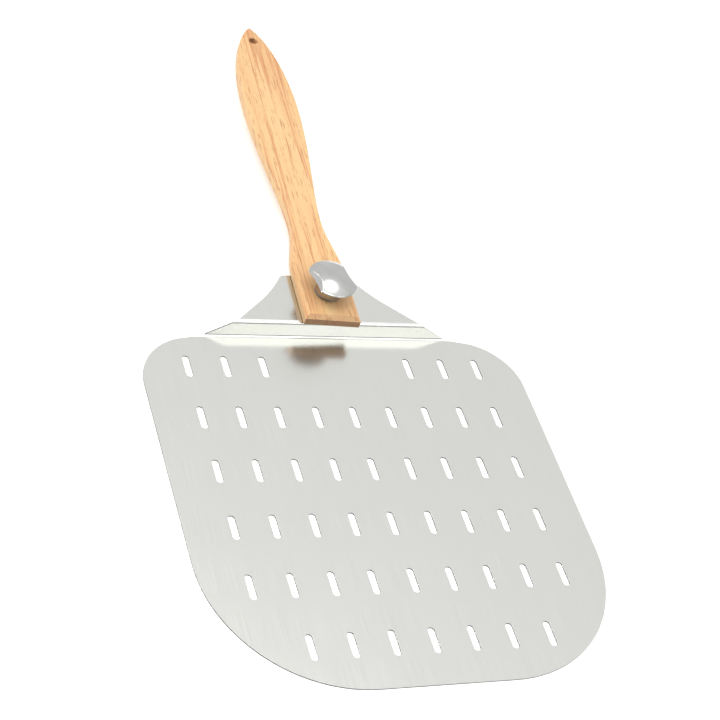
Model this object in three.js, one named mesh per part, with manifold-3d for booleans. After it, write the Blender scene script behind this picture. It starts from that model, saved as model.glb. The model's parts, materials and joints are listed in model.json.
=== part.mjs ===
// A folding pizza peel: a slotted steel blade pressed up into a raised neck, and a flat wooden
// handle that lies on the neck and turns about one clamp bolt.
// Millimetres, +Z up. The origin is the middle of the slot pattern, on the blade's underside.
// +Y runs from the front edge to the handle, +X to the right.

import * as THREE from 'three';
import { mergeVertices } from 'three/addons/utils/BufferGeometryUtils.js';
import Module from 'manifold-3d';

const wasm = await Module();
wasm.setup();

// Driving dimensions

const gap = 0.3;                      // between pieces that touch

const sheetThickness = 1;
const bladeHalfWidth = 152.5;
const bladeFrontY = -154.8;
const frontCornerRadius = 103;
const backCornerRadius = 46;
const backCornerY = 103.5;            // where the straight sides end
const shoulderAngle = Math.PI / 12;   // the back edge climbs towards the neck

const slotWidth = 5;
const slotLength = 20;
const slotPitchX = 29.2;
const slotPitchY = 48.35;

// Each row from the front edge to the handle, as the columns that it has either side of the middle.
const slotRows = [
  [-3, -2, -1, 0, 1, 2, 3],
  [-4, -3, -2, -1, 0, 1, 2, 3, 4],
  [-4, -3, -2, -1, 0, 1, 2, 3, 4],
  [-4, -3, -2, -1, 0, 1, 2, 3, 4],
  [-4, -3, -2, -1, 0, 1, 2, 3, 4],
  [-4, -3, -2, 2, 3, 4],
];

const neckRise = 14;                  // from the blade's top face to the neck's top face
const riserFrontY = 151.5;            // the foot of the riser
const riserLean = 1.6;                // how far the riser leans back over its height
const bendRadius = 2;                 // inside of both bends
const riserFootHalfWidth = 99;
const neckRootHalfWidth = 72;
const neckRootY = 156.5;
const neckSideStart = [53.8, 172.8];  // where the straight side turns into the flare
const neckSideControl = [41.6, 183];
const neckSideEnd = [31, 198.5];
const neckTopHalfWidth = 26.6;
const neckCornerReach = 2.4;          // how far the rounded top corner reaches in from the flare
const neckTopY = 202.6;

const boltY = 176;
const shankRadius = 2.95;
const squareNeckWidth = 6;
const squareNeckHeight = 2.5;
const boltHeadRadius = 8;
const boltHeadHeight = 3.6;
const boltHeadEdge = 0.8;             // height of the head's straight rim
const boltLengthAboveNeck = 22;

const handleThickness = 9;
const handleChamfer = 3;
const handleEndToBolt = 26.3;
const handleBoreRadius = 4.6;         // clears the corners of the square neck
const restSwing = -3.2 * Math.PI / 180;
const hangingHoleRadius = 3.75;
// Half widths of the handle at distances along it from the bolt
const endHalfWidth = 22;
const endStraightTo = 24;
const waistHalfWidth = 13.4;
const waistAt = 80;
const gripHalfWidth = 23.8;
const gripAt = 222;
const tipAt = 326.5;
const tipShoulderHalfWidth = 14;      // pulls the sides out into a pointed arch
const hangingHoleAt = 306.5;

const washerRadius = 10.2;
const washerHoleRadius = 3.3;
const washerThickness = 1.2;

const knobRadius = 19.4;
const knobWaistHalfWidth = 15.3;      // across the thumb sides, at the cap's underside
const knobCapRise = 4.4;              // the shallow curve of the cap above its rim
const knobHubRadius = 10.3;
const knobHubHeight = 13.2;
const knobRimThickness = 1;
const knobHubFillet = 3;              // where the hub spreads into the cap's underside
const knobScoopRadius = 60;           // the two thumb sides are slightly hollow
const knobScoopLean = 0.8;            // and lean in this far for each millimetre of height
const knobRestTurn = 12 * Math.PI / 180;
const insertRadius = 5;
const insertBoreRadius = 3.25;
const insertHeight = 14;

// Heights, worked out from the stack of pieces

const neckTopZ = sheetThickness + neckRise;
const neckBottomZ = neckTopZ - sheetThickness;
const handleBottomZ = neckTopZ + gap;
const handleTopZ = handleBottomZ + handleThickness;
const washerBottomZ = handleTopZ + gap;
const hubBottomZ = washerBottomZ + washerThickness + gap;

// Solids

function toSolid(geometry) {
  const bare = geometry.index ? geometry.toNonIndexed() : geometry.clone();
  bare.deleteAttribute('normal');
  bare.deleteAttribute('uv');
  const merged = mergeVertices(bare, 1e-4);
  const mesh = new wasm.Mesh({
    numProp: 3,
    vertProperties: new Float32Array(merged.attributes.position.array),
    triVerts: new Uint32Array(merged.index.array),
  });
  return new wasm.Manifold(mesh);
}

function toGeometry(solid) {
  const mesh = solid.getMesh();
  const geometry = new THREE.BufferGeometry();
  geometry.setAttribute('position', new THREE.BufferAttribute(mesh.vertProperties, 3));
  geometry.setIndex(new THREE.BufferAttribute(mesh.triVerts, 1));
  geometry.computeVertexNormals();
  return geometry;
}

function plate(shape, bottomZ, height) {
  const geometry = new THREE.ExtrudeGeometry(shape, { depth: height, bevelEnabled: false });
  return geometry.translate(0, 0, bottomZ);
}

function upright(geometry) {
  return geometry.rotateX(Math.PI / 2);
}

function cylinder(radius, bottomZ, height, sides = 32) {
  const geometry = upright(new THREE.CylinderGeometry(radius, radius, height, sides));
  return geometry.translate(0, 0, bottomZ + height / 2);
}

function mirroredOutline(halfPoints) {
  const offAxis = halfPoints.filter((p) => p.x > 0.001);
  const left = offAxis.map((p) => new THREE.Vector2(-p.x, p.y)).reverse();
  return [...halfPoints, ...left];
}

function standardMaterial(color, roughness, metalness) {
  return new THREE.MeshStandardMaterial({ color, roughness, metalness });
}

const trimRoom = 10;                                  // how far a trimming solid clears the piece
const bandHalfLength = neckTopY + trimRoom;

// Blade: one pressed sheet. A bent band as wide as the blade is trimmed from above to the outline,
// and from the front to the sloping ends of the riser.

function bladeOutline() {
  const cornerX = bladeHalfWidth - frontCornerRadius;
  const backCornerX = bladeHalfWidth - backCornerRadius;
  const shoulderStartX = backCornerX + backCornerRadius * Math.sin(shoulderAngle);
  const shoulderStartY = backCornerY + backCornerRadius * Math.cos(shoulderAngle);
  const shoulderRise = (shoulderStartX - riserFootHalfWidth) * Math.tan(shoulderAngle);
  const half = new THREE.Path();
  half.moveTo(cornerX, bladeFrontY);
  half.absarc(cornerX, bladeFrontY + frontCornerRadius, frontCornerRadius, -Math.PI / 2, 0, false);
  half.absarc(backCornerX, backCornerY, backCornerRadius, 0, Math.PI / 2 - shoulderAngle, false);
  half.lineTo(riserFootHalfWidth, shoulderStartY + shoulderRise);
  half.lineTo(neckRootHalfWidth, neckRootY);
  half.lineTo(...neckSideStart);
  half.quadraticCurveTo(...neckSideControl, ...neckSideEnd);
  half.quadraticCurveTo(neckSideEnd[0] - neckCornerReach, neckTopY, neckTopHalfWidth, neckTopY);
  return mirroredOutline(half.getPoints(10));
}

function slotPath(x, y) {
  const r = slotWidth / 2;
  const reach = slotLength / 2 - r;
  const slot = new THREE.Path();
  slot.absarc(x, y + reach, r, 0, Math.PI, false);
  slot.absarc(x, y - reach, r, Math.PI, 2 * Math.PI, false);
  return new THREE.Path(slot.getPoints(5).slice(0, -1));
}

function bladeShape() {
  const shape = new THREE.Shape(bladeOutline());
  slotRows.forEach((columns, row) => {
    const y = (row - (slotRows.length - 1) / 2) * slotPitchY;
    columns.forEach((column) => shape.holes.push(slotPath(column * slotPitchX, y)));
  });
  const half = squareNeckWidth / 2 + gap;
  shape.holes.push(new THREE.Path([
    new THREE.Vector2(-half, boltY - half),
    new THREE.Vector2(-half, boltY + half),
    new THREE.Vector2(half, boltY + half),
    new THREE.Vector2(half, boltY - half),
  ]));
  return shape;
}

// The band's section, drawn in Y and Z: flat, up the riser through two bends, and flat again.
function bentBand() {
  const riserAngle = Math.atan2(neckRise, riserLean);
  const outer = bendRadius + sheetThickness;
  const tangent = Math.tan(riserAngle / 2);
  const section = new THREE.Shape();
  const footCentreY = riserFrontY - bendRadius * tangent;
  const footCentreZ = sheetThickness + bendRadius;
  const headCentreY = riserFrontY + riserLean + outer * tangent;
  const headCentreZ = neckTopZ - outer;
  section.moveTo(-bandHalfLength, 0);
  section.lineTo(footCentreY, 0);
  section.absarc(footCentreY, footCentreZ, outer, -Math.PI / 2, riserAngle - Math.PI / 2, false);
  section.absarc(headCentreY, headCentreZ, bendRadius, riserAngle + Math.PI / 2, Math.PI / 2, true);
  section.lineTo(bandHalfLength, neckBottomZ);
  section.lineTo(bandHalfLength, neckTopZ);
  section.lineTo(headCentreY, neckTopZ);
  section.absarc(headCentreY, headCentreZ, outer, Math.PI / 2, riserAngle + Math.PI / 2, false);
  section.absarc(footCentreY, footCentreZ, bendRadius, riserAngle - Math.PI / 2, -Math.PI / 2, true);
  section.lineTo(-bandHalfLength, sheetThickness);
  const width = 2 * (bladeHalfWidth + trimRoom);
  const settings = { depth: width, bevelEnabled: false, curveSegments: 6 };
  const geometry = new THREE.ExtrudeGeometry(section, settings);
  // Section X becomes Y, section Y becomes Z and the extrusion becomes X.
  const sideways = new THREE.Matrix4().set(
    0, 0, 1, -width / 2,
    1, 0, 0, 0,
    0, 1, 0, 0,
    0, 0, 0, 1,
  );
  return geometry.applyMatrix4(sideways);
}

// What the sheet may fill, seen from the front: full width low down, sloping in up the riser.
function frontTrim() {
  const wide = bladeHalfWidth + trimRoom / 2;
  const low = 2 * sheetThickness;
  const half = [
    new THREE.Vector2(wide, -trimRoom),
    new THREE.Vector2(wide, low),
    new THREE.Vector2(riserFootHalfWidth, low),
    new THREE.Vector2(neckRootHalfWidth, neckTopZ + gap),
  ];
  const shape = new THREE.Shape(mirroredOutline(half));
  const length = 2 * bandHalfLength;
  const geometry = upright(new THREE.ExtrudeGeometry(shape, { depth: length, bevelEnabled: false }));
  return geometry.translate(0, bandHalfLength, 0);
}

function makeBlade() {
  const trimmed = toSolid(bentBand())
    .intersect(toSolid(plate(bladeShape(), -trimRoom, neckTopZ + 2 * trimRoom)))
    .intersect(toSolid(frontTrim()));
  const mesh = new THREE.Mesh(toGeometry(trimmed), standardMaterial(0xd6d5d0, 0.32, 1));
  mesh.name = 'blade';
  return mesh;
}

// Carriage bolt: a domed head under the neck, a square that the neck's hole keeps from turning,
// and the shank that the handle turns on.

function makeBolt() {
  const headTopZ = neckBottomZ - gap;
  const headProfile = new THREE.Path();
  headProfile.moveTo(0, headTopZ - boltHeadHeight);
  headProfile.quadraticCurveTo(
    boltHeadRadius, headTopZ - boltHeadHeight,
    boltHeadRadius, headTopZ - boltHeadEdge,
  );
  headProfile.lineTo(boltHeadRadius, headTopZ);
  headProfile.lineTo(0, headTopZ);
  const head = upright(new THREE.LatheGeometry(headProfile.getPoints(8), 32));
  const rootZ = headTopZ - boltHeadEdge;
  const squareTopZ = neckBottomZ + squareNeckHeight;
  const square = new THREE.BoxGeometry(squareNeckWidth, squareNeckWidth, squareTopZ - rootZ);
  square.translate(0, 0, (squareTopZ + rootZ) / 2);
  const shank = cylinder(shankRadius, rootZ, neckTopZ + boltLengthAboveNeck - rootZ, 24);
  const solid = toSolid(head).add(toSolid(square)).add(toSolid(shank));
  const mesh = new THREE.Mesh(toGeometry(solid), standardMaterial(0xc4c4c6, 0.3, 1));
  mesh.name = 'carriage_bolt';
  mesh.position.set(0, boltY, 0);
  return mesh;
}

// Handle: a flat board, drawn about the bolt with its length along Y.

function handleOutline() {
  const half = new THREE.Path();
  half.moveTo(endHalfWidth, -handleEndToBolt);
  half.lineTo(endHalfWidth, endStraightTo);
  half.bezierCurveTo(
    endHalfWidth, endStraightTo + 18,
    waistHalfWidth, waistAt - 22,
    waistHalfWidth, waistAt,
  );
  half.bezierCurveTo(
    waistHalfWidth, waistAt + 34,
    gripHalfWidth, gripAt - 55,
    gripHalfWidth, gripAt,
  );
  half.bezierCurveTo(
    gripHalfWidth, gripAt + 50,
    tipShoulderHalfWidth, tipAt - 14,
    0, tipAt,
  );
  return mirroredOutline(half.getPoints(10));
}

function makeHandle() {
  const chamfer = {
    bevelEnabled: true,
    bevelSegments: 1,
    bevelSize: handleChamfer,
    bevelOffset: -handleChamfer,
    bevelThickness: handleChamfer,
  };
  const board = new THREE.ExtrudeGeometry(
    new THREE.Shape(handleOutline()),
    { depth: handleThickness, ...chamfer },
  );
  board.translate(0, 0, -handleChamfer);
  const keep = new THREE.BoxGeometry(4 * gripHalfWidth, 3 * tipAt, handleThickness);
  keep.translate(0, 0, handleThickness / 2);
  const bore = cylinder(handleBoreRadius, -trimRoom, handleThickness + 2 * trimRoom, 24);
  const hangingHole = cylinder(hangingHoleRadius, -trimRoom, handleThickness + 2 * trimRoom, 24);
  hangingHole.translate(0, hangingHoleAt, 0);
  const solid = toSolid(board)
    .intersect(toSolid(keep))
    .subtract(toSolid(bore))
    .subtract(toSolid(hangingHole));
  const mesh = new THREE.Mesh(toGeometry(solid), standardMaterial(0xe8bd85, 0.6, 0));
  mesh.name = 'handle';
  mesh.position.set(0, boltY, handleBottomZ);
  mesh.rotation.z = restSwing;
  return mesh;
}

function makeWasher() {
  const ring = new THREE.Shape();
  ring.absarc(0, 0, washerRadius, 0, 2 * Math.PI, false);
  const hole = new THREE.Path();
  hole.absarc(0, 0, washerHoleRadius, 0, 2 * Math.PI, true);
  ring.holes.push(hole);
  const settings = { depth: washerThickness, bevelEnabled: false, curveSegments: 20 };
  const geometry = new THREE.ExtrudeGeometry(ring, settings);
  const mesh = new THREE.Mesh(geometry, standardMaterial(0xbdbdc0, 0.25, 1));
  mesh.name = 'washer';
  mesh.position.set(0, boltY, washerBottomZ);
  return mesh;
}

// Knob: a shallow curved cap on a round hub, with two opposite sides cut back for finger and thumb.
// Heights here count from the hub's lower face.

function makeKnob() {
  const pocketRadius = insertRadius + gap;
  const pocketHeight = insertHeight + gap;
  const undersideHeight = knobHubHeight - knobRimThickness;
  const capTop = knobHubHeight + knobCapRise;
  const half = new THREE.Path();
  half.moveTo(0, pocketHeight);
  half.lineTo(pocketRadius, pocketHeight);
  half.lineTo(pocketRadius, 0);
  half.lineTo(knobHubRadius, 0);
  half.lineTo(knobHubRadius, undersideHeight - knobHubFillet);
  half.quadraticCurveTo(knobHubRadius, undersideHeight, knobHubRadius + knobHubFillet, undersideHeight);
  half.lineTo(knobRadius, undersideHeight);
  half.lineTo(knobRadius, knobHubHeight);
  half.quadraticCurveTo(knobRadius / 2, capTop, 0, capTop);
  let solid = toSolid(upright(new THREE.LatheGeometry(half.getPoints(8), 40)));
  const scoopReach = knobScoopLean * capTop;
  [-1, 1].forEach((side) => {
    const cone = new THREE.CylinderGeometry(
      knobScoopRadius + scoopReach, knobScoopRadius - scoopReach, 2 * capTop, 96);
    const scoop = upright(cone);
    scoop.translate(side * (knobWaistHalfWidth + knobScoopRadius), 0, undersideHeight);
    solid = solid.subtract(toSolid(scoop));
  });
  const mesh = new THREE.Mesh(toGeometry(solid), standardMaterial(0xd9dadc, 0.12, 1));
  mesh.name = 'knob';
  mesh.position.set(0, boltY, hubBottomZ);
  mesh.rotation.z = knobRestTurn;
  return mesh;
}

function makeInsert() {
  const section = [
    new THREE.Vector2(insertBoreRadius, 0),
    new THREE.Vector2(insertRadius, 0),
    new THREE.Vector2(insertRadius, insertHeight),
    new THREE.Vector2(insertBoreRadius, insertHeight),
    new THREE.Vector2(insertBoreRadius, 0),
  ];
  const geometry = upright(new THREE.LatheGeometry(section, 24));
  const mesh = new THREE.Mesh(toGeometry(toSolid(geometry)), standardMaterial(0xc9a24e, 0.35, 1));
  mesh.name = 'knob_insert';
  mesh.position.set(0, boltY, hubBottomZ);
  return mesh;
}

const peel = new THREE.Group();
peel.name = 'pizza_peel';
peel.add(makeBlade(), makeBolt(), makeHandle(), makeWasher(), makeKnob(), makeInsert());

export default peel;
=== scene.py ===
# %% [markdown]
# # A folding pizza peel
# A pizza peel is a thin metal shovel for an oven. This one has a slotted steel blade, so that
# loose flour falls through, and a wooden handle that swings back over the blade for storage.
# The blade is pressed up into a raised neck. One bolt stands in the neck, the handle turns on it,
# and a chromed knob screws down to clamp the handle where it is wanted.
#
# The sizes that matter were settled in CAD, so the first step loads that frame. Everything below
# is built around it, in the same place and at the same size, only finer.

import bmesh
import bpy
import json
import math
from mathutils import Matrix, Vector
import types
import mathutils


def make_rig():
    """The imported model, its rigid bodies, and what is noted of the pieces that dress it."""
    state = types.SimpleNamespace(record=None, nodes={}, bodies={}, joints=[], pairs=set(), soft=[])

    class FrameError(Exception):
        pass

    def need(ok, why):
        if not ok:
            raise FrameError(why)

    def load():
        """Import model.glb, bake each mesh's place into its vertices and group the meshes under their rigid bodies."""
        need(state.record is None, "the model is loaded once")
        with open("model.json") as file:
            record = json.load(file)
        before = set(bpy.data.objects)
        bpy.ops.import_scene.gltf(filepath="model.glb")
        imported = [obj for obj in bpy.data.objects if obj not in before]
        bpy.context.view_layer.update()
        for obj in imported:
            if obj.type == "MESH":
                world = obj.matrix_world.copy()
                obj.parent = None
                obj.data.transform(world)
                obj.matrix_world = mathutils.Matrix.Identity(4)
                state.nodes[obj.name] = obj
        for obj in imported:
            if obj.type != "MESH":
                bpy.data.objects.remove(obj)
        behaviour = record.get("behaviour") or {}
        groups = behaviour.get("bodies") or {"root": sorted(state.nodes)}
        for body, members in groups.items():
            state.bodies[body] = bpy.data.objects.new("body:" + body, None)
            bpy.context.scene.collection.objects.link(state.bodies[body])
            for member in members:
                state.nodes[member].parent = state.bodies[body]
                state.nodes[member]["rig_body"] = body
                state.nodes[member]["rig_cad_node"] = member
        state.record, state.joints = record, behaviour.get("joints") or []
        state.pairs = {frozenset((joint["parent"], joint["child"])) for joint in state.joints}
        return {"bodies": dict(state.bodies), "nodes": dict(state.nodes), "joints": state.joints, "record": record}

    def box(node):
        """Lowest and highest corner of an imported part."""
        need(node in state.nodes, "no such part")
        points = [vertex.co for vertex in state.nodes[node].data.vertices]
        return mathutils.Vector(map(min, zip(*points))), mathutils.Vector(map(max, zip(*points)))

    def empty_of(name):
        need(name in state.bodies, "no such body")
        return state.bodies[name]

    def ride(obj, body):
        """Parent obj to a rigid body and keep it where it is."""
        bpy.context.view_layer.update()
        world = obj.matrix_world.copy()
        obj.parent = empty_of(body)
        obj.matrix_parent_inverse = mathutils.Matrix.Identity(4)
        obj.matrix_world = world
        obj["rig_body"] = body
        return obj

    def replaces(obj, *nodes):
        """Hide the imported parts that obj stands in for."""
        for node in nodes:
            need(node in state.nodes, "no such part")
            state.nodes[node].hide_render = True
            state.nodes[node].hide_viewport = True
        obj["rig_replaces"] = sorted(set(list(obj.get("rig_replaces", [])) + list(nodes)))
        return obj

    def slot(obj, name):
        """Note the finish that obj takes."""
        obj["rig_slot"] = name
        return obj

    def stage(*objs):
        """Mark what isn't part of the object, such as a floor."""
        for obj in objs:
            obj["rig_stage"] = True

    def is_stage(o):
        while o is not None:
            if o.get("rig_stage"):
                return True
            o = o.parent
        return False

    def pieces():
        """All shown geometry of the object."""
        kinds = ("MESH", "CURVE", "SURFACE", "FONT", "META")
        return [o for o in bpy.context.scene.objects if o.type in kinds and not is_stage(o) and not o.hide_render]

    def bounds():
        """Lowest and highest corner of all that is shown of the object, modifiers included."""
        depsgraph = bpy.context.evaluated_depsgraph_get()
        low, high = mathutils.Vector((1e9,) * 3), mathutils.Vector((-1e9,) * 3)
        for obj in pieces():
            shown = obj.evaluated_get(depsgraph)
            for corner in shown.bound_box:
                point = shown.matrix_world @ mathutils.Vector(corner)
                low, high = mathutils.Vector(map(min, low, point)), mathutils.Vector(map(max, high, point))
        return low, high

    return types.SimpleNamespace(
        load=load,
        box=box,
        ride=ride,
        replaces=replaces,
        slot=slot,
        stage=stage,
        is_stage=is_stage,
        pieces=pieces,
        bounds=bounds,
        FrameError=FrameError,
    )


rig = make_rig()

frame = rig.load()
cad_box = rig.bounds()
MM = 0.001


def box_mm(node):
    """A CAD node's lowest and highest corners, in millimetres."""
    low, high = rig.box(node)
    return low / MM, high / MM


for name in sorted(frame["nodes"]):
    low, high = box_mm(name)
    print(f"{name}: {high.x - low.x:.1f} x {high.y - low.y:.1f} x {high.z - low.z:.1f} mm")

# %% [markdown]
# ## The camera
# The camera comes first, because it decides which sides have to be right at a glance. It looks
# down over the front left corner of the blade, and it is rolled, so that the peel lies across the
# picture as if it had been laid down in passing. A long lens keeps the far edge from shrinking.

# %% Place the camera
AIM = Vector((20.9, 129.1, 1.0)) * MM
CAMERA_TURN = math.radians(-33.84)
CAMERA_RAISE = math.radians(41.76)
CAMERA_ROLL = math.radians(24.9)
CAMERA_DISTANCE = 1.3197

towards_camera = Vector((
    math.sin(CAMERA_TURN) * math.cos(CAMERA_RAISE),
    -math.cos(CAMERA_TURN) * math.cos(CAMERA_RAISE),
    math.sin(CAMERA_RAISE),
))
lens = bpy.data.cameras.new("camera")
lens.lens = 88.1
camera = bpy.data.objects.new("camera", lens)
camera.location = AIM + towards_camera * CAMERA_DISTANCE
looking = (-towards_camera).to_track_quat("-Z", "Y").to_matrix()
camera.rotation_euler = (looking @ Matrix.Rotation(CAMERA_ROLL, 3, "Z")).to_euler()
bpy.context.scene.collection.objects.link(camera)
bpy.context.scene.camera = camera
print("camera at", [round(value, 3) for value in camera.location])

# %% [markdown]
# ## Drawing outlines
# Most pieces here begin as a line that is drawn point by point: a vertex is pulled out into an
# edge, or swung round a centre into an arc. Working in millimetres keeps the numbers readable,
# and the finished mesh is scaled to metres in one go.

# %% Three ways to draw
def start_at(bm, x, y, z=0.0):
    """Put down the first point of a line."""
    return bmesh.ops.create_vert(bm, co=(x, y, z))["vert"][0]


def draw_to(bm, point, x, y, z=0.0):
    """Pull a new point out of the last one, with an edge between them."""
    pulled = bmesh.ops.extrude_vert_indiv(bm, verts=[point])["verts"][0]
    pulled.co = (x, y, z)
    return pulled


def draw_arc(bm, point, centre, degrees, steps):
    """Swing a point round a centre in the XY plane, and leave an arc of edges behind it."""
    swung = bmesh.ops.spin(
        bm, geom=[point], cent=(*centre, 0), axis=(0, 0, 1),
        angle=math.radians(degrees), steps=steps,
    )
    return next(item for item in swung["geom_last"] if isinstance(item, bmesh.types.BMVert))


def draw_bezier(bm, point, controls, end, steps):
    """Draw a Bezier curve from a point to an end, pulled towards one or two control points."""
    corners = [point.co.xy.copy(), *map(Vector, controls), Vector(end)]
    degree = len(corners) - 1
    for step in range(1, steps + 1):
        t = step / steps
        shares = [math.comb(degree, i) * t**i * (1 - t) ** (degree - i) for i in range(degree + 1)]
        spot = sum((corner * share for corner, share in zip(corners, shares)), Vector((0, 0)))
        point = draw_to(bm, point, spot.x, spot.y)
    return point


def mirror_left(bm):
    """Copy the right half to the left and weld the two where they meet on the middle line."""
    everything = bm.verts[:] + bm.edges[:] + bm.faces[:]
    bmesh.ops.mirror(bm, geom=everything, matrix=Matrix.Identity(4), merge_dist=0.001, axis="X")
    bmesh.ops.remove_doubles(bm, verts=bm.verts, dist=0.001)


print("drawing helpers ready")

# %% [markdown]
# ## Handing a piece over
# Each finished mesh becomes an object that rides on a body of the CAD model, hides the plain CAD
# node that it stands for, and takes a finish. Shading is smooth across gentle angles and breaks at
# real edges. The Weighted Normal modifier makes large flats look truly flat up to their rounded
# rims, which matters on polished metal, where the eye reads every bend in a reflection.

# %% Turn a bmesh into a piece
def make_piece(bm, name, node, body, slot, material, sharp_from=40):
    bmesh.ops.scale(bm, vec=(MM, MM, MM), verts=bm.verts)
    mesh = bpy.data.meshes.new(name)
    bm.to_mesh(mesh)
    bm.free()
    mesh.shade_smooth()
    mesh.set_sharp_from_angle(angle=math.radians(sharp_from))
    mesh.materials.append(material)
    piece = bpy.data.objects.new(name, mesh)
    bpy.context.scene.collection.objects.link(piece)
    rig.ride(piece, body)
    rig.replaces(piece, node)
    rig.slot(piece, slot)
    print(f"{name}: {len(mesh.vertices)} points, {len(mesh.polygons)} faces")
    return piece


def weigh_normals(piece):
    piece.modifiers.new("flat flats", "WEIGHTED_NORMAL").keep_sharp = True


# %% [markdown]
# ## Finishes
# Real metal is never one grey. Rolling and polishing leave hair-fine lines, so the roughness and
# a very shallow bump both follow a noise that is stretched along the direction of rolling.
# Small node helpers keep each finish readable.

# %% Node helpers
def new_finish(name, **settings):
    """A Principled material with its plain values set on the shader's own sockets."""
    material = bpy.data.materials.new(name)
    material.use_nodes = True
    shader = material.node_tree.nodes["Principled BSDF"]
    for socket, value in settings.items():
        shader.inputs[socket.replace("_", " ")].default_value = value
    return material, shader


def add_node(material, kind, **settings):
    node = material.node_tree.nodes.new(kind)
    for key, value in settings.items():
        setattr(node, key, value)
    return node


def join(material, out_socket, in_socket):
    material.node_tree.links.new(out_socket, in_socket)


def stretched(material, scale, location=(0, 0, 0), turn=0.0):
    """Object coordinates seen from a spot and a turn, then stretched: a small scale is a long grain."""
    where = add_node(material, "ShaderNodeTexCoord")
    settle = add_node(material, "ShaderNodeMapping", vector_type="TEXTURE")
    settle.inputs["Location"].default_value = location
    settle.inputs["Rotation"].default_value = (0, 0, turn)
    pull = add_node(material, "ShaderNodeMapping", vector_type="POINT")
    pull.inputs["Scale"].default_value = scale
    join(material, where.outputs["Object"], settle.inputs["Vector"])
    join(material, settle.outputs["Vector"], pull.inputs["Vector"])
    return pull.outputs["Vector"]


def noise(material, vector, detail=2.0, roughness=0.5, distortion=0.0):
    made = add_node(material, "ShaderNodeTexNoise")
    made.inputs["Scale"].default_value = 1.0
    made.inputs["Detail"].default_value = detail
    made.inputs["Roughness"].default_value = roughness
    made.inputs["Distortion"].default_value = distortion
    join(material, vector, made.inputs["Vector"])
    return made.outputs["Fac"]


def remap(material, value, low, high, to_low, to_high, smooth=False):
    made = add_node(material, "ShaderNodeMapRange")
    made.interpolation_type = "SMOOTHSTEP" if smooth else "LINEAR"
    for socket, number in zip(("From Min", "From Max", "To Min", "To Max"), (low, high, to_low, to_high)):
        made.inputs[socket].default_value = number
    join(material, value, made.inputs["Value"])
    return made.outputs["Result"]


def mix_colours(material, factor, first, second, blend="MIX"):
    """Each colour is an output socket, or a red, green and blue."""
    made = add_node(material, "ShaderNodeMix", data_type="RGBA", blend_type=blend)
    join(material, factor, made.inputs["Factor"])
    for socket, colour in zip((made.inputs[6], made.inputs[7]), (first, second)):
        if isinstance(colour, bpy.types.NodeSocket):
            join(material, colour, socket)
        else:
            socket.default_value = (*colour, 1.0)
    return made.outputs[2]


def bump(material, shader, height, strength, distance):
    made = add_node(material, "ShaderNodeBump")
    made.inputs["Strength"].default_value = strength
    made.inputs["Distance"].default_value = distance
    join(material, height, made.inputs["Height"])
    join(material, made.outputs["Normal"], shader.inputs["Normal"])


print("node helpers ready")

# %% [markdown]
# ### Brushed stainless steel
# The sheet was rubbed lengthwise with a fine belt before it was pressed, so its lines run from the
# front edge to the handle and climb straight up the fold. Stretching the noise along both Y and Z
# gives exactly that: one line keeps its X all the way up.

# %% Steel for the blade
def brushed_steel():
    material, shader = new_finish("belt_rubbed_steel", Metallic=1.0)
    hairs = noise(material, stretched(material, (2600, 24, 24)), detail=3)
    clouds = noise(material, stretched(material, (14, 9, 14)), detail=2)
    colour = mix_colours(material, hairs, (0.60, 0.605, 0.575), (0.66, 0.665, 0.635))
    join(material, colour, shader.inputs["Base Color"])
    rubbed = remap(material, hairs, 0.3, 0.7, 0.14, 0.22)
    uneven = add_node(material, "ShaderNodeMath", operation="MULTIPLY_ADD")
    join(material, clouds, uneven.inputs[0])
    uneven.inputs[1].default_value = 0.06
    join(material, rubbed, uneven.inputs[2])
    join(material, uneven.outputs[0], shader.inputs["Roughness"])
    bump(material, shader, hairs, 0.10, 0.00002)
    return material


STEEL = brushed_steel()
print("finish:", STEEL.name)

# %% [markdown]
# ### Zinc, washer steel, chrome, brass and cut edges
# The small metal pieces differ in how they were finished: the bolt is zinc plated and slightly
# cloudy, the washer is coloured darker, the knob is polished and chromed, and the brass insert is
# as it came off the lathe. Where the blade was sheared its edge is dull, and it is coloured nearly
# black as painted shade in the slot walls and round the rims. One recipe with different numbers
# makes all five.

# %% Finishes for the small metal pieces
def plated_metal(name, dark, light, roughness, spread, grain, strength):
    """A metal whose colour and gloss drift a little; grain is how many specks fit in a metre."""
    material, shader = new_finish(name, Metallic=1.0)
    specks = noise(material, stretched(material, (grain, grain, grain)), detail=4)
    clouds = noise(material, stretched(material, (90, 90, 90)), detail=2)
    colour = mix_colours(material, clouds, dark, light)
    join(material, colour, shader.inputs["Base Color"])
    gloss = remap(material, specks, 0.3, 0.7, roughness - spread, roughness + spread)
    join(material, gloss, shader.inputs["Roughness"])
    bump(material, shader, specks, strength, 0.00002)
    return material


ZINC = plated_metal("zinc_plate", (0.50, 0.51, 0.53), (0.66, 0.67, 0.68), 0.34, 0.07, 2200, 0.25)
# The washer is coloured much darker than the bolt's zinc.
WASHER_STEEL = plated_metal("bright_steel", (0.22, 0.21, 0.20), (0.32, 0.31, 0.30), 0.30, 0.05, 1600, 0.12)
CHROME = plated_metal("chrome", (0.42, 0.42, 0.405), (0.54, 0.54, 0.53), 0.12, 0.04, 900, 0.06)
BRASS = plated_metal("turned_brass", (0.70, 0.48, 0.20), (0.84, 0.62, 0.30), 0.28, 0.06, 1800, 0.15)
# Sheared edge: dull, and coloured nearly black as painted shade in the slot walls and round the rims.
SHEARED_EDGE_AND_SHADE = plated_metal("sheared_edge_and_shade", (0.05, 0.05, 0.05), (0.13, 0.13, 0.125), 0.48, 0.08, 2600, 0.35)
print("finishes:", ZINC.name, WASHER_STEEL.name, CHROME.name, BRASS.name, SHEARED_EDGE_AND_SHADE.name)
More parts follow.
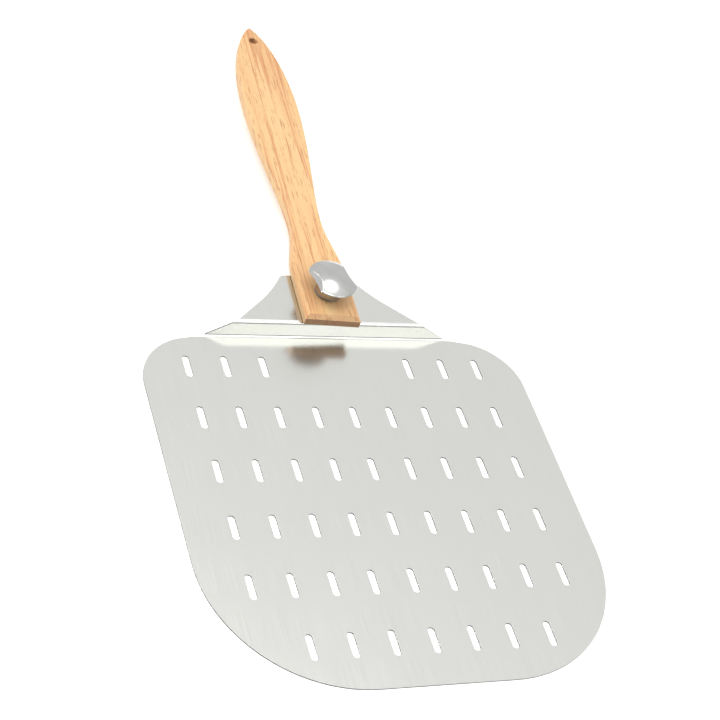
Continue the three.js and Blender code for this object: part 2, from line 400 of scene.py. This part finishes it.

# %% [markdown]
# ### Oiled wood
# The handle is a pale hardwood. A board is a slice through a trunk, so its figure is made in
# three layers, all stretched along the handle: broad bands of tone, thin orange growth lines, and
# short dark pores. Cut ends drink more oil than long sides and turn brown, so the colour also
# looks at which way the surface faces. Only the end that faces the front is browned, so this is
# partly end grain and partly painted shade.

# %% Wood for the handle
washer_low, washer_high = box_mm("washer")
BOLT = Vector(((washer_low.x + washer_high.x) / 2, (washer_low.y + washer_high.y) / 2, 0))
HANDLE_SWING = math.radians(-3.2)


def oiled_wood():
    material, shader = new_finish("oiled_wood", Specular_IOR_Level=0.4)
    along = {"location": BOLT * MM, "turn": HANDLE_SWING}
    bands = noise(material, stretched(material, (55, 3.2, 55), **along), detail=2, distortion=0.4)
    lines = noise(material, stretched(material, (300, 4.5, 200), **along), detail=3, distortion=1.0)
    fibres = noise(material, stretched(material, (1500, 26, 1500), **along), detail=3)
    pores = noise(material, stretched(material, (1500, 75, 1500), **along), detail=1)
    banded = remap(material, bands, 0.35, 0.65, 0, 1, True)
    tone = mix_colours(material, banded, (0.56, 0.360, 0.170), (0.52, 0.300, 0.134))
    lined = remap(material, lines, 0.54, 0.62, 0, 0.9, True)
    grown = mix_colours(material, lined, tone, (0.42, 0.18, 0.07))
    pale = remap(material, fibres, 0.35, 0.7, 0, 0.35)
    fine = mix_colours(material, pale, grown, (0.62, 0.42, 0.22))
    flecks = remap(material, pores, 0.61, 0.69, 0, 0.7, True)
    flecked = mix_colours(material, flecks, fine, (0.28, 0.11, 0.04))
    # Painted shade, partly end grain: faces turned to the front, -Y along the handle, are browned; the far end is not.
    facing = add_node(material, "ShaderNodeVectorMath", operation="DOT_PRODUCT")
    where = add_node(material, "ShaderNodeTexCoord")
    join(material, where.outputs["Normal"], facing.inputs[0])
    facing.inputs[1].default_value = (math.sin(HANDLE_SWING), -math.cos(HANDLE_SWING), 0)
    end_grain_and_shade = remap(material, facing.outputs["Value"], 0.55, 1.0, 0, 0.74)
    end_grain_and_shade_tone = mix_colours(material, end_grain_and_shade, flecked, (0.16, 0.075, 0.035))
    join(material, end_grain_and_shade_tone, shader.inputs["Base Color"])
    join(material, remap(material, fibres, 0.3, 0.7, 0.42, 0.58), shader.inputs["Roughness"])
    bump(material, shader, fibres, 0.25, 0.0001)
    return material


WOOD = oiled_wood()
print("finish:", WOOD.name, "grain turned", round(math.degrees(HANDLE_SWING), 1), "degrees")

# %% [markdown]
# ## The blade
# A real blade is one blank: the outline and the slots are punched out of flat sheet, and a press
# then folds it twice, up at the foot of the riser and level again at its top. It is made the same
# way here. The blank is drawn flat, longer than the finished blade by what the folds take up, and
# only then folded.
#
# The sheet is drawn as its own middle surface. The middle is the part that neither stretches nor
# shrinks in a fold, so the sums are simple: a fold uses up its middle radius times its angle.

# %% Work out how much sheet the folds use
blade_low, blade_high = box_mm("blade")
HALF_WIDTH = blade_high.x
FRONT_Y = blade_low.y
NECK_END_Y = blade_high.y
SHEET = 1.0
RISE = blade_high.z - SHEET
RISER_Y = 151.5
RISER_LEAN = 1.6
FOLD_INSIDE = 2.0
FOLD_STEPS = 12

fold_angle = math.atan2(RISE, RISER_LEAN)
fold_middle = FOLD_INSIDE + SHEET / 2
fold_length = fold_middle * fold_angle
riser_length = (RISE - 2 * fold_middle * (1 - math.cos(fold_angle))) / math.sin(fold_angle)
foot_start = RISER_Y - FOLD_INSIDE * math.tan(fold_angle / 2)
head_start = foot_start + fold_length + riser_length
used = 2 * fold_length + riser_length
covered = 2 * fold_middle * math.sin(fold_angle) + riser_length * math.cos(fold_angle)
extra = used - covered
print(f"each fold turns {math.degrees(fold_angle):.1f} degrees and the blank is {extra:.2f} mm longer")

# %% [markdown]
# The outline is drawn for the right half and mirrored. The front corners are large arcs, the back
# corners smaller ones, and from there the edge climbs to the foot of the riser, up its sloping
# end, and along the flared neck.

# %% Draw the blank's outline
FRONT_CORNER = 103.0
BACK_CORNER = 46.0
BACK_CORNER_Y = 103.5
SHOULDER_ANGLE = 15
RISER_FOOT_X = 99.0
NECK_ROOT = (72.0, 156.5)
NECK_SIDE = ((53.8, 172.8), (41.6, 183.0), (31.0, 198.5))
NECK_CORNER = ((28.6, NECK_END_Y), (26.6, NECK_END_Y))


def beyond_folds(point):
    """Where a point of the finished neck lies on the flat blank."""
    return point[0], point[1] + extra


def draw_blank(bm):
    point = start_at(bm, 0, FRONT_Y)
    point = draw_to(bm, point, HALF_WIDTH - FRONT_CORNER, FRONT_Y)
    point = draw_arc(bm, point, (HALF_WIDTH - FRONT_CORNER, FRONT_Y + FRONT_CORNER), 90, 24)
    point = draw_to(bm, point, HALF_WIDTH, BACK_CORNER_Y)
    point = draw_arc(bm, point, (HALF_WIDTH - BACK_CORNER, BACK_CORNER_Y), 90 - SHOULDER_ANGLE, 18)
    point = draw_to(bm, point, RISER_FOOT_X, foot_start + fold_length / 2)
    point = draw_to(bm, point, *beyond_folds(NECK_ROOT))
    point = draw_to(bm, point, *beyond_folds(NECK_SIDE[0]))
    point = draw_bezier(bm, point, [beyond_folds(NECK_SIDE[1])], beyond_folds(NECK_SIDE[2]), 10)
    point = draw_bezier(bm, point, [beyond_folds(NECK_CORNER[0])], beyond_folds(NECK_CORNER[1]), 6)
    draw_to(bm, point, *beyond_folds((0, NECK_END_Y)))
    mirror_left(bm)


sheet = bmesh.new()
draw_blank(sheet)
print("outline:", len(sheet.edges), "edges")

# %% [markdown]
# ### The slots
# A slot with round ends is a circle that has been pulled apart. The circle is turned by half a
# step first, so that it has a flat edge at each side, and those two edges become the straight
# sides when the upper half moves up and the lower half down.

# %% Punch the slots and the square hole for the bolt
SLOT_WIDTH = 5.0
SLOT_LENGTH = 20.0
SLOT_SPACING = (29.2, 48.35)
SLOT_SIDES = 20
SLOT_ROWS = [range(-3, 4)] + [range(-4, 5)] * 4 + [(-4, -3, -2, 2, 3, 4)]
SQUARE_HOLE = 6.6


def add_slot(bm, x, y):
    half_step = math.pi / SLOT_SIDES
    ring = bmesh.ops.create_circle(
        bm, cap_ends=False, segments=SLOT_SIDES, radius=SLOT_WIDTH / 2 / math.cos(half_step),
        matrix=Matrix.Translation((x, y, 0)) @ Matrix.Rotation(half_step, 4, "Z"),
    )["verts"]
    reach = (SLOT_LENGTH - SLOT_WIDTH) / 2
    for vert in ring:
        vert.co.y += math.copysign(reach, vert.co.y - y)


for row, columns in enumerate(SLOT_ROWS):
    for column in columns:
        slot_y = (row - (len(SLOT_ROWS) - 1) / 2) * SLOT_SPACING[1]
        add_slot(sheet, column * SLOT_SPACING[0], slot_y)
bmesh.ops.create_circle(
    sheet, cap_ends=False, segments=4, radius=SQUARE_HOLE / math.sqrt(2),
    matrix=Matrix.Translation((0, BOLT.y + extra, 0)) @ Matrix.Rotation(math.pi / 4, 4, "Z"),
)
bmesh.ops.triangle_fill(sheet, use_beauty=True, use_dissolve=False, edges=sheet.edges[:])
print("slots:", sum(len(list(columns)) for columns in SLOT_ROWS), "- faces:", len(sheet.faces))

# %% [markdown]
# ### Folding
# A press brake folds along a line. A fold with a radius is many small folds side by side, so the
# blank is scored across at equal steps and everything beyond each score is turned a little. The
# far folds are made first, while all that lies before them is still flat, so that every score is
# where the flat drawing says.

# %% Fold the neck up and level again
def score_lines(start):
    return [start + (step + 0.5) * fold_length / FOLD_STEPS for step in range(FOLD_STEPS)]


folds = [(y, 1) for y in score_lines(foot_start)] + [(y, -1) for y in score_lines(head_start)]
for y, _ in folds:
    everything = sheet.verts[:] + sheet.edges[:] + sheet.faces[:]
    bmesh.ops.bisect_plane(sheet, geom=everything, dist=0.0005, plane_co=(0, y, 0), plane_no=(0, 1, 0))
flat_y = {vert: vert.co.y for vert in sheet.verts}
for y, direction in reversed(folds):
    beyond = [vert for vert in sheet.verts if flat_y[vert] > y + 0.001]
    turn = Matrix.Rotation(direction * fold_angle / FOLD_STEPS, 3, "X")
    bmesh.ops.rotate(sheet, cent=(0, y, 0), matrix=turn, verts=beyond)
bmesh.ops.translate(sheet, vec=(0, 0, SHEET / 2), verts=sheet.verts)
neck_end = max(sheet.verts, key=lambda vert: vert.co.y).co
print(f"neck ends at y {neck_end.y:.2f}, middle of the sheet at z {neck_end.z:.2f} mm")

# %% [markdown]
# Solidify gives the sheet its thickness, half to each side of the drawn surface, and puts the dull
# finish of sheared metal on the faces that it adds round the rims. Its nearly black colour is partly
# painted shade in the slot walls. Punching leaves a lip that is then tumbled smooth, so a small
# Bevel rounds every cut edge.

# %% Give the sheet its thickness and its rounded lips
blade = make_piece(sheet, "blade_sheet", "blade", "root", "brushed_steel", STEEL, sharp_from=60)
thicken = blade.modifiers.new("thickness", "SOLIDIFY")
thicken.thickness = SHEET * MM
thicken.offset = 0
thicken.use_even_offset = True
blade.data.materials.append(SHEARED_EDGE_AND_SHADE)
thicken.material_offset_rim = 1
lips = blade.modifiers.new("lips", "BEVEL")
lips.width = 0.14 * MM
lips.segments = 2
lips.limit_method = "ANGLE"
lips.angle_limit = math.radians(50)
weigh_normals(blade)

# %% [markdown]
# ## Turned pieces
# The bolt, the washer, the insert and the knob all begin on a lathe: half of the section is drawn
# beside the axis and spun once round it. What isn't round, such as the bolt's square neck or the
# knob's hollow sides, is pressed into the spun shape afterwards by moving its points.

# %% Spin a section round the bolt's axis
def turn_on_lathe(bm, section, columns):
    """section is a list of radius and height, in millimetres; a closed ring repeats its first point."""
    point = start_at(bm, section[0][0], 0, section[0][1])
    for radius, height in section[1:]:
        point = draw_to(bm, point, radius, 0, height)
    bmesh.ops.spin(
        bm, geom=bm.verts[:] + bm.edges[:], cent=(0, 0, 0), axis=(0, 0, 1),
        angle=2 * math.pi, steps=columns, use_merge=True,
    )
    bmesh.ops.remove_doubles(bm, verts=bm.verts, dist=0.0005)
    bmesh.ops.recalc_face_normals(bm, faces=bm.faces)


def place_on_bolt(bm):
    bmesh.ops.translate(bm, vec=BOLT, verts=bm.verts)


def quarter_round(centre, radius, first, last, steps=4):
    """Points on an arc in the section, from one angle to another in degrees."""
    angles = [math.radians(first + (last - first) * step / steps) for step in range(steps + 1)]
    return [(centre[0] + radius * math.cos(a), centre[1] + radius * math.sin(a)) for a in angles]


print("lathe ready")

# %% [markdown]
# ### The carriage bolt
# A carriage bolt has a smooth domed head, which can lie against the table, and a square neck under
# it that the blade's square hole keeps from turning. The thread is rolled: the blank's surface is
# pressed into ridges that climb one pitch for each turn.

# %% Turn the bolt
bolt_low, bolt_high = box_mm("carriage_bolt")
HEAD_RADIUS = (bolt_high.x - bolt_low.x) / 2
HEAD_HEIGHT = 3.6
HEAD_RIM = 0.8
NECK_SQUARE = 6.0
SQUARE_HEIGHT = 2.8
SHANK_RADIUS = 2.95
THREAD_PITCH = 1.0
THREAD_DEPTH = 0.5
THREAD_START = bolt_low.z + 10.5
RINGS_PER_PITCH = 10

head_top = bolt_low.z + HEAD_HEIGHT


def head_dome_point(degrees):
    """A point of the head's dome, counted from the axis out to the straight rim."""
    angle = math.radians(degrees)
    return HEAD_RADIUS * math.sin(angle), head_top - HEAD_RIM - (HEAD_HEIGHT - HEAD_RIM) * math.cos(angle)


head_dome = [head_dome_point(degrees) for degrees in range(0, 91, 9)]
square_top = head_top + SQUARE_HEIGHT
ring_gap = THREAD_PITCH / RINGS_PER_PITCH
ring_count = int((bolt_high.z - 1.0 - THREAD_START) / ring_gap)
shank = [(SHANK_RADIUS, THREAD_START + ring * ring_gap) for ring in range(ring_count)]
tip = [(SHANK_RADIUS, bolt_high.z - 0.9), (SHANK_RADIUS - 0.8, bolt_high.z), (0, bolt_high.z)]
bolt_section = [
    *head_dome,
    *quarter_round((HEAD_RADIUS - 0.3, head_top - 0.3), 0.3, 0, 90),
    (NECK_SQUARE / 2, head_top), (NECK_SQUARE / 2, square_top),
    (SHANK_RADIUS, square_top + 0.2), *shank, *tip,
]
bolt = bmesh.new()
turn_on_lathe(bolt, bolt_section, 32)


def press_square(bm):
    """Push the round neck out to a square, as the header's die does."""
    for vert in bm.verts:
        reach = max(abs(vert.co.x), abs(vert.co.y))
        on_neck = head_top - 0.01 < vert.co.z < square_top + 0.01
        if on_neck and vert.co.xy.length < NECK_SQUARE / 2 + 0.01:
            vert.co.xy *= NECK_SQUARE / 2 / reach


def roll_thread(bm):
    """Sink the shank between ridges that climb one pitch a turn."""
    for vert in bm.verts:
        if vert.co.z < THREAD_START or vert.co.xy.length < SHANK_RADIUS - 0.01:
            continue
        turned = math.atan2(vert.co.y, vert.co.x) / (2 * math.pi)
        along = (vert.co.z / THREAD_PITCH - turned) % 1
        sink = THREAD_DEPTH * (1 - abs(2 * along - 1))
        vert.co.xy *= (SHANK_RADIUS - sink) / SHANK_RADIUS


press_square(bolt)
roll_thread(bolt)
place_on_bolt(bolt)
clamp_bolt = make_piece(bolt, "clamp_bolt", "carriage_bolt", "root", "zinc_steel", ZINC)
weigh_normals(clamp_bolt)

# %% [markdown]
# ### The washer
# A stamped washer keeps the knob from scouring the wood. Its section is a rectangle beside the
# axis, and stamping leaves one face with softly rounded edges.

# %% Turn the washer
WASHER_RADIUS = (washer_high.x - washer_low.x) / 2
WASHER_HOLE = 3.3
WASHER_EDGE = 0.35
washer = bmesh.new()
turn_on_lathe(washer, [
    (WASHER_HOLE, washer_low.z), (WASHER_RADIUS - 0.15, washer_low.z), (WASHER_RADIUS, washer_low.z + 0.15),
    *quarter_round((WASHER_RADIUS - WASHER_EDGE, washer_high.z - WASHER_EDGE), WASHER_EDGE, 0, 90),
    (WASHER_HOLE + 0.2, washer_high.z), (WASHER_HOLE, washer_high.z - 0.2), (WASHER_HOLE, washer_low.z),
], 96)
place_on_bolt(washer)
steel_washer = make_piece(washer, "steel_washer", "washer", "handle_body", "washer_steel", WASHER_STEEL)
weigh_normals(steel_washer)

# %% [markdown]
# ### The threaded insert
# The knob is a casting, and a casting holds a thread badly, so a brass insert is pressed into it.
# Straight knurling round its outside bites into the bore. The knurl is made by sinking every
# second column of points a little.

# %% Turn and knurl the insert
insert_low, insert_high = box_mm("knob_insert")
INSERT_RADIUS = (insert_high.x - insert_low.x) / 2
INSERT_BORE = 3.25
KNURL_DEPTH = 0.25
insert = bmesh.new()
turn_on_lathe(insert, [
    (INSERT_BORE, insert_low.z + 0.3), (INSERT_BORE + 0.3, insert_low.z),
    (INSERT_RADIUS - 0.6, insert_low.z), (INSERT_RADIUS - 0.4, insert_low.z + 0.8),
    (INSERT_RADIUS, insert_low.z + 1.0), (INSERT_RADIUS, insert_high.z - 0.8),
    (INSERT_RADIUS - 0.4, insert_high.z), (INSERT_BORE + 0.3, insert_high.z),
    (INSERT_BORE, insert_high.z - 0.3), (INSERT_BORE, insert_low.z + 0.3),
], 72)
for vert in insert.verts:
    column = round(math.atan2(vert.co.y, vert.co.x) / (2 * math.pi / 72))
    if vert.co.xy.length > INSERT_RADIUS - 0.01 and column % 2:
        vert.co.xy *= 1 - KNURL_DEPTH / INSERT_RADIUS
place_on_bolt(insert)
make_piece(
    insert, "brass_insert", "knob_insert", "insert_body", "insert_brass", BRASS, sharp_from=30,
)

# %% [markdown]
# ### The knob
# The knob is a shallow cap on a round hub. Two opposite sides are hollowed and lean inwards, so
# that finger and thumb find them. Cutting the hollows out of a spun cap would leave ragged faces
# just where the chrome shows everything, so the cap is pressed instead: each column of points is
# drawn in until its rim lies on the knob's outline, and every point is set back to the height of
# the cap there. The hollow side then falls out by itself, as a clean wall under a crisp edge.

# %% Work out the knob's outline and cap
knob_low, knob_high = box_mm("knob")
KNOB_RADIUS = 19.4
KNOB_WAIST = 15.3
KNOB_HOLLOW = 60.0
KNOB_LEAN = 0.8
KNOB_TURN = math.radians(12)
CAP_RISE = 4.4
RIM_HEIGHT = 1.0
HUB_RADIUS = 10.3
HUB_FLARE = 3.0
CORNER_SHARPNESS = 60
POCKET_RADIUS = INSERT_RADIUS + 0.3
rim_top = knob_high.z - CAP_RISE
underside = rim_top - RIM_HEIGHT


def cap_z(radius):
    return rim_top + CAP_RISE * (1 - (radius / KNOB_RADIUS) ** 2)


def side_reach(angle, z):
    """How far the knob reaches in a direction: the circle or the hollow, blended at the corner."""
    centre = KNOB_WAIST + KNOB_HOLLOW
    across = centre * abs(math.cos(angle))
    inside = across**2 - centre**2 + (KNOB_HOLLOW + KNOB_LEAN * (z - underside)) ** 2
    if inside <= 0:
        return KNOB_RADIUS
    hollow = across - math.sqrt(inside)
    nearer = (hollow / KNOB_RADIUS) ** -CORNER_SHARPNESS
    return KNOB_RADIUS * (1 + nearer) ** (-1 / CORNER_SHARPNESS)


def cap_reach(angle):
    """Where the leaning side meets the curve of the cap: each guess corrects the one before."""
    reach = KNOB_RADIUS
    for _ in range(12):
        reach = side_reach(angle, cap_z(reach))
    return reach


print(f"waist {2 * side_reach(0, underside):.1f} mm below and {2 * cap_reach(0):.1f} mm above")

# %% Turn the knob and press in its sides
KNOB_COLUMNS = 180
CAP_RINGS = 20
CAP_STILL = 6.0
RIM_ROUND = 0.5
flare_foot = HUB_RADIUS + HUB_FLARE
cap_rings = [KNOB_RADIUS * ring / CAP_RINGS for ring in range(CAP_RINGS + 1)]
cap_section = [(ring, cap_z(ring)) for ring in cap_rings]
flare = quarter_round((flare_foot, underside - HUB_FLARE), HUB_FLARE, 90, 180, 6)
knob = bmesh.new()
turn_on_lathe(knob, [
    *cap_section, (KNOB_RADIUS, underside), *flare,
    (HUB_RADIUS, knob_low.z + 0.4), (HUB_RADIUS - 0.4, knob_low.z),
    (POCKET_RADIUS + 0.3, knob_low.z), (POCKET_RADIUS, knob_low.z + 0.3),
    (POCKET_RADIUS, insert_high.z + 0.3), (0, insert_high.z + 0.6),
], KNOB_COLUMNS)
for vert in knob.verts:
    radius = vert.co.xy.length
    angle = math.atan2(vert.co.y, vert.co.x)
    on_cap = vert.co.z > underside + 0.01
    still = CAP_STILL if on_cap else flare_foot
    if radius <= still + 0.01 or vert.co.z < underside - 0.01:
        continue
    reach = cap_reach(angle) if on_cap else side_reach(angle, underside)
    pressed = still + (radius - still) / (KNOB_RADIUS - still) * (reach - still)
    vert.co.xy *= pressed / radius
    if on_cap:
        vert.co.z = cap_z(pressed)
creases = [edge for edge in knob.edges if edge.calc_face_angle(0) > math.radians(25)]
high_creases = [edge for edge in creases if edge.verts[0].co.z > underside - 0.01]
rims = [edge for edge in high_creases if edge.verts[0].co.xy.length > HUB_RADIUS]
bmesh.ops.bevel(
    knob, geom=rims, offset=RIM_ROUND, offset_type="OFFSET", segments=3, profile=0.5,
    affect="EDGES", clamp_overlap=True, material=-1,
)
bmesh.ops.rotate(knob, cent=(0, 0, 0), matrix=Matrix.Rotation(KNOB_TURN, 3, "Z"), verts=knob.verts)
place_on_bolt(knob)
clamp_knob = make_piece(knob, "clamp_knob", "knob", "knob_body", "knob_chrome", CHROME, sharp_from=50)
weigh_normals(clamp_knob)

# %% [markdown]
# ## The handle
# A handle like this is sawn from a flat board and then shaped with two router bits. A straight bit
# takes a flat chamfer off the top edges of the square end, which lies on the neck, and from the
# waist on the edges are rounded for the hand.
#
# The board is the outline pulled up into a slab. Its top is then stepped inwards a few times, and
# every step is placed by one rule that says how deep and how round the edge is at that distance
# from the bolt. That lets a flat chamfer melt into a round edge without a seam.

# %% Draw the handle's outline about the bolt
handle_low, handle_high = box_mm("handle")
THICKNESS = handle_high.z - handle_low.z
END_Y = -26.3
END_HALF = 22.0
WAIST = (13.4, 80.0)
GRIP = (23.8, 222.0)
TIP_Y = 326.5
BORE_RADIUS = 4.6
HANG_HOLE = (3.75, 306.5)

board = bmesh.new()
point = start_at(board, 0, END_Y)
point = draw_to(board, point, END_HALF, END_Y)
point = draw_to(board, point, END_HALF, 0)
point = draw_to(board, point, END_HALF, 24)
point = draw_bezier(board, point, [(END_HALF, 42), (WAIST[0], 58)], WAIST, 18)
point = draw_bezier(board, point, [(WAIST[0], 114), (GRIP[0], 167)], GRIP, 24)
draw_bezier(board, point, [(GRIP[0], 272), (14, 312.5)], (0, TIP_Y), 30)
mirror_left(board)
outline = board.edges[:]
bmesh.ops.contextual_create(board, geom=outline)
print("handle outline:", len(outline), "edges,", round(TIP_Y - END_Y, 1), "mm long")

# %% Step the edges in by the rule
CHAMFER = 3.0
GRIP_EDGE = 2.4
CHAMFER_ENDS = (26.0, 64.0)
UNDER_EDGE = 0.8
EDGE_STEPS = 5


def soften(y):
    """0 where the edge is a flat chamfer, 1 where it is round."""
    t = min(1.0, max(0.0, (y - CHAMFER_ENDS[0]) / (CHAMFER_ENDS[1] - CHAMFER_ENDS[0])))
    return t * t * (3 - 2 * t)


def edge_shape(y, t):
    """How far in and how far up an edge has come at share t of the way across it."""
    roundness = soften(y)
    size = CHAMFER + (GRIP_EDGE - CHAMFER) * roundness
    arc = math.radians(90 * t)
    inwards = t + (1 - math.cos(arc) - t) * roundness
    upwards = t + (math.sin(arc) - t) * roundness
    return size * inwards, size * upwards


def shape_rim(bm, face, steps, rule, up):
    """Step a face in from its rim; rule(y, share) says how far in and how far along Z it has come."""
    start = {vert: vert.co.copy() for vert in face.verts}
    inwards = {}
    for step in range(1, steps + 1):
        bmesh.ops.inset_region(bm, faces=[face], thickness=1.0, use_even_offset=True)
        for vert in face.verts:
            inwards.setdefault(vert, vert.co - start[vert])
            sideways, along = rule(start[vert].y, step / steps)
            vert.co = start[vert] + inwards[vert] * sideways + Vector((0, 0, up * along))


def under_shape(_, t):
    arc = math.radians(90 * t)
    return UNDER_EDGE * (1 - math.cos(arc)), UNDER_EDGE * math.sin(arc)


underside_face = board.faces[0]
raised = bmesh.ops.extrude_face_region(board, geom=[underside_face])["geom"]
top_face = next(item for item in raised if isinstance(item, bmesh.types.BMFace))
underside_face = next(face for face in board.faces if len(face.verts) > 4 and face is not top_face)
for vert in underside_face.verts:
    vert.co.z = UNDER_EDGE
for vert in top_face.verts:
    vert.co.z = THICKNESS - edge_shape(vert.co.y, 1)[1]
shape_rim(board, top_face, EDGE_STEPS, edge_shape, 1)
shape_rim(board, underside_face, 3, under_shape, -1)
print("board:", len(board.faces), "faces with its edges shaped")

# %% [markdown]
# Two holes go right through: the bore that turns on the bolt, and a small one near the tip to hang
# the peel up by. Each is a stack of four rings, the outer two a little wider, so that the mouths
# are softened. The flat faces are opened and filled again around the rings.

# %% Bore the two holes
MOUTH = 0.5


def bore(bm, y, radius):
    """Four rings joined into a tube; returns the edges of its lower and its upper mouth."""
    levels = [(radius + MOUTH, 0), (radius, MOUTH), (radius, THICKNESS - MOUTH), (radius + MOUTH, THICKNESS)]
    rings = []
    for ring_radius, z in levels:
        verts = bmesh.ops.create_circle(
            bm, cap_ends=False, segments=40, radius=ring_radius, matrix=Matrix.Translation((0, y, z)),
        )["verts"]
        rings.append(list({edge for vert in verts for edge in vert.link_edges}))
    for lower, upper in zip(rings, rings[1:]):
        bmesh.ops.bridge_loops(bm, edges=lower + upper)
    return rings[0], rings[-1]


lower_rims = list(underside_face.edges)
upper_rims = list(top_face.edges)
bmesh.ops.delete(board, geom=[underside_face, top_face], context="FACES_ONLY")
for y, radius in ((0, BORE_RADIUS), (HANG_HOLE[1], HANG_HOLE[0])):
    lower, upper = bore(board, y, radius)
    lower_rims += lower
    upper_rims += upper
bmesh.ops.triangle_fill(board, use_beauty=True, use_dissolve=False, edges=lower_rims)
bmesh.ops.triangle_fill(board, use_beauty=True, use_dissolve=False, edges=upper_rims)
bmesh.ops.recalc_face_normals(board, faces=board.faces)
bmesh.ops.rotate(board, cent=(0, 0, 0), matrix=Matrix.Rotation(HANDLE_SWING, 3, "Z"), verts=board.verts)
bmesh.ops.translate(board, vec=BOLT + Vector((0, 0, handle_low.z)), verts=board.verts)
open_edges = sum(edge.is_boundary or not edge.is_manifold for edge in board.edges)
print("open edges:", open_edges)
wooden_handle = make_piece(board, "wooden_handle", "handle", "handle_body", "oak_wood", WOOD, sharp_from=32)
weigh_normals(wooden_handle)

# %% [markdown]
# ## Floor and light
# The peel lies on a plain white floor in a white room, which is how polished things are shown:
# metal has no colour of its own to speak of and only hands on what stands around it. The floor
# shows only its upper side, so that the peel can be looked at from below.

# %% Lay the floor
floor_mesh = bmesh.new()
bmesh.ops.create_grid(floor_mesh, x_segments=1, y_segments=1, size=6.0)
bmesh.ops.translate(floor_mesh, vec=(0, 0, -0.0002), verts=floor_mesh.verts)
floor_data = bpy.data.meshes.new("floor")
floor_mesh.to_mesh(floor_data)
floor_mesh.free()
floor = bpy.data.objects.new("floor", floor_data)
bpy.context.scene.collection.objects.link(floor)
white, white_shader = new_finish("white_floor", Roughness=0.8, Specular_IOR_Level=0.2)
FLOOR_WHITE = 0.88
FLOOR_GLOW = 0.2
white_shader.inputs["Base Color"].default_value = (FLOOR_WHITE, FLOOR_WHITE, FLOOR_WHITE, 1)
white_shader.inputs["Emission Color"].default_value = (1, 1, 1, 1)
white_shader.inputs["Emission Strength"].default_value = FLOOR_GLOW
from_below = add_node(white, "ShaderNodeNewGeometry").outputs["Backfacing"]
see_through = add_node(white, "ShaderNodeMixShader")
join(white, from_below, see_through.inputs["Fac"])
join(white, white_shader.outputs["BSDF"], see_through.inputs[1])
join(white, add_node(white, "ShaderNodeBsdfTransparent").outputs["BSDF"], see_through.inputs[2])
join(white, see_through.outputs["Shader"], white.node_tree.nodes["Material Output"].inputs["Surface"])
floor_data.materials.append(white)
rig.stage(floor)
print("floor: 12 m across")

# %% [markdown]
# Three soft lights shape it. A broad one overhead fills the top faces. One behind and to the left
# draws the short shadows on the wood. A card in front lights the riser and the handle's cut end,
# and its reflection keeps the polished riser white.

# %% Hang the lights
def soft_light(name, position, aim, size, power):
    lamp = bpy.data.lights.new(name, "AREA")
    lamp.shape = "RECTANGLE"
    lamp.size, lamp.size_y = size
    lamp.energy = power
    holder = bpy.data.objects.new(name, lamp)
    holder.location = position
    aimed = Vector(aim) - Vector(position)
    holder.rotation_euler = aimed.to_track_quat("-Z", "Y").to_euler()
    bpy.context.scene.collection.objects.link(holder)
    print(name, "at", position)


soft_light("overhead", (-0.28, -0.22, 1.6), (0.0, 0.1, 0.0), (1.0, 1.0), 11)
soft_light("back_left", (-1.1, 0.9, 1.7), (0.0, 0.2, 0.0), (0.7, 0.7), 17)
soft_light("front_card", (0.6, -0.75, 1.0), (0.0, 0.15, 0.0), (0.8, 1.0), 4.9)

# %% [markdown]
# The room does the rest, because the blade is a mirror of it. The walls behind the peel give the
# blade its even grey, the ceiling is brighter and whitens the folds, and the skirting in front is
# dim, which draws the thin dark lines beside them. A round glow on the ceiling makes the highlight
# on the knob.

# %% Light the room
world = bpy.data.worlds.new("white_room")
world.use_nodes = True
room_nodes = world.node_tree.nodes
room_links = world.node_tree.links
direction = room_nodes.new("ShaderNodeTexCoord").outputs["Generated"]
split = room_nodes.new("ShaderNodeSeparateXYZ")
room_links.new(direction, split.inputs[0])
towards_glow = room_nodes.new("ShaderNodeVectorMath")
towards_glow.operation = "DOT_PRODUCT"
towards_glow.inputs[1].default_value = (0.18, 0.27, 0.946)
room_links.new(direction, towards_glow.inputs[0])


def fade(measured, start, end, first, last):
    """Brightness that changes from first to last as what is measured goes from start to end."""
    made = room_nodes.new("ShaderNodeMapRange")
    made.interpolation_type = "SMOOTHSTEP"
    for socket, number in zip(("From Min", "From Max", "To Min", "To Max"), (start, end, first, last)):
        made.inputs[socket].default_value = number
    room_links.new(measured, made.inputs["Value"])
    return made.outputs["Result"]


def combine(operation, first, second):
    step = room_nodes.new("ShaderNodeMath")
    step.operation = operation
    room_links.new(first, step.inputs[0])
    room_links.new(second, step.inputs[1])
    return step.outputs[0]


walls = fade(split.outputs["Y"], -0.7, 0.25, 0.8, 1.04)
ceiling = fade(split.outputs["Z"], 0.66, 1.0, 0.98, 1.3)
near_floor = fade(split.outputs["Z"], 0.05, 0.3, 0.4, 1.0)
not_in_front = fade(split.outputs["Y"], -0.3, 0.1, 0.0, 1.0)
skirting = combine("MAXIMUM", near_floor, not_in_front)
glow = fade(towards_glow.outputs["Value"], 0.962, 0.995, 0.0, 1.6)
plain_room = combine("MULTIPLY", combine("MULTIPLY", walls, ceiling), skirting)
room = room_nodes["Background"]
room_links.new(combine("ADD", plain_room, glow), room.inputs["Strength"])
room.inputs["Color"].default_value = (1.0, 1.0, 1.0, 1)
bpy.context.scene.world = world
bpy.context.scene.view_settings.view_transform = "Standard"
print("room nodes:", len(room_nodes))

# %% [markdown]
# ## Write down the size
# The finished model has to fill the same box as the CAD model. Both boxes are written down.

# %% Write the sizes and finish
with open("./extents.json", "w") as file:
    boxes = {"cad": cad_box, "visual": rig.bounds()}
    json.dump({name: [list(corner) for corner in box] for name, box in boxes.items()}, file)
print(open("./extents.json").read())
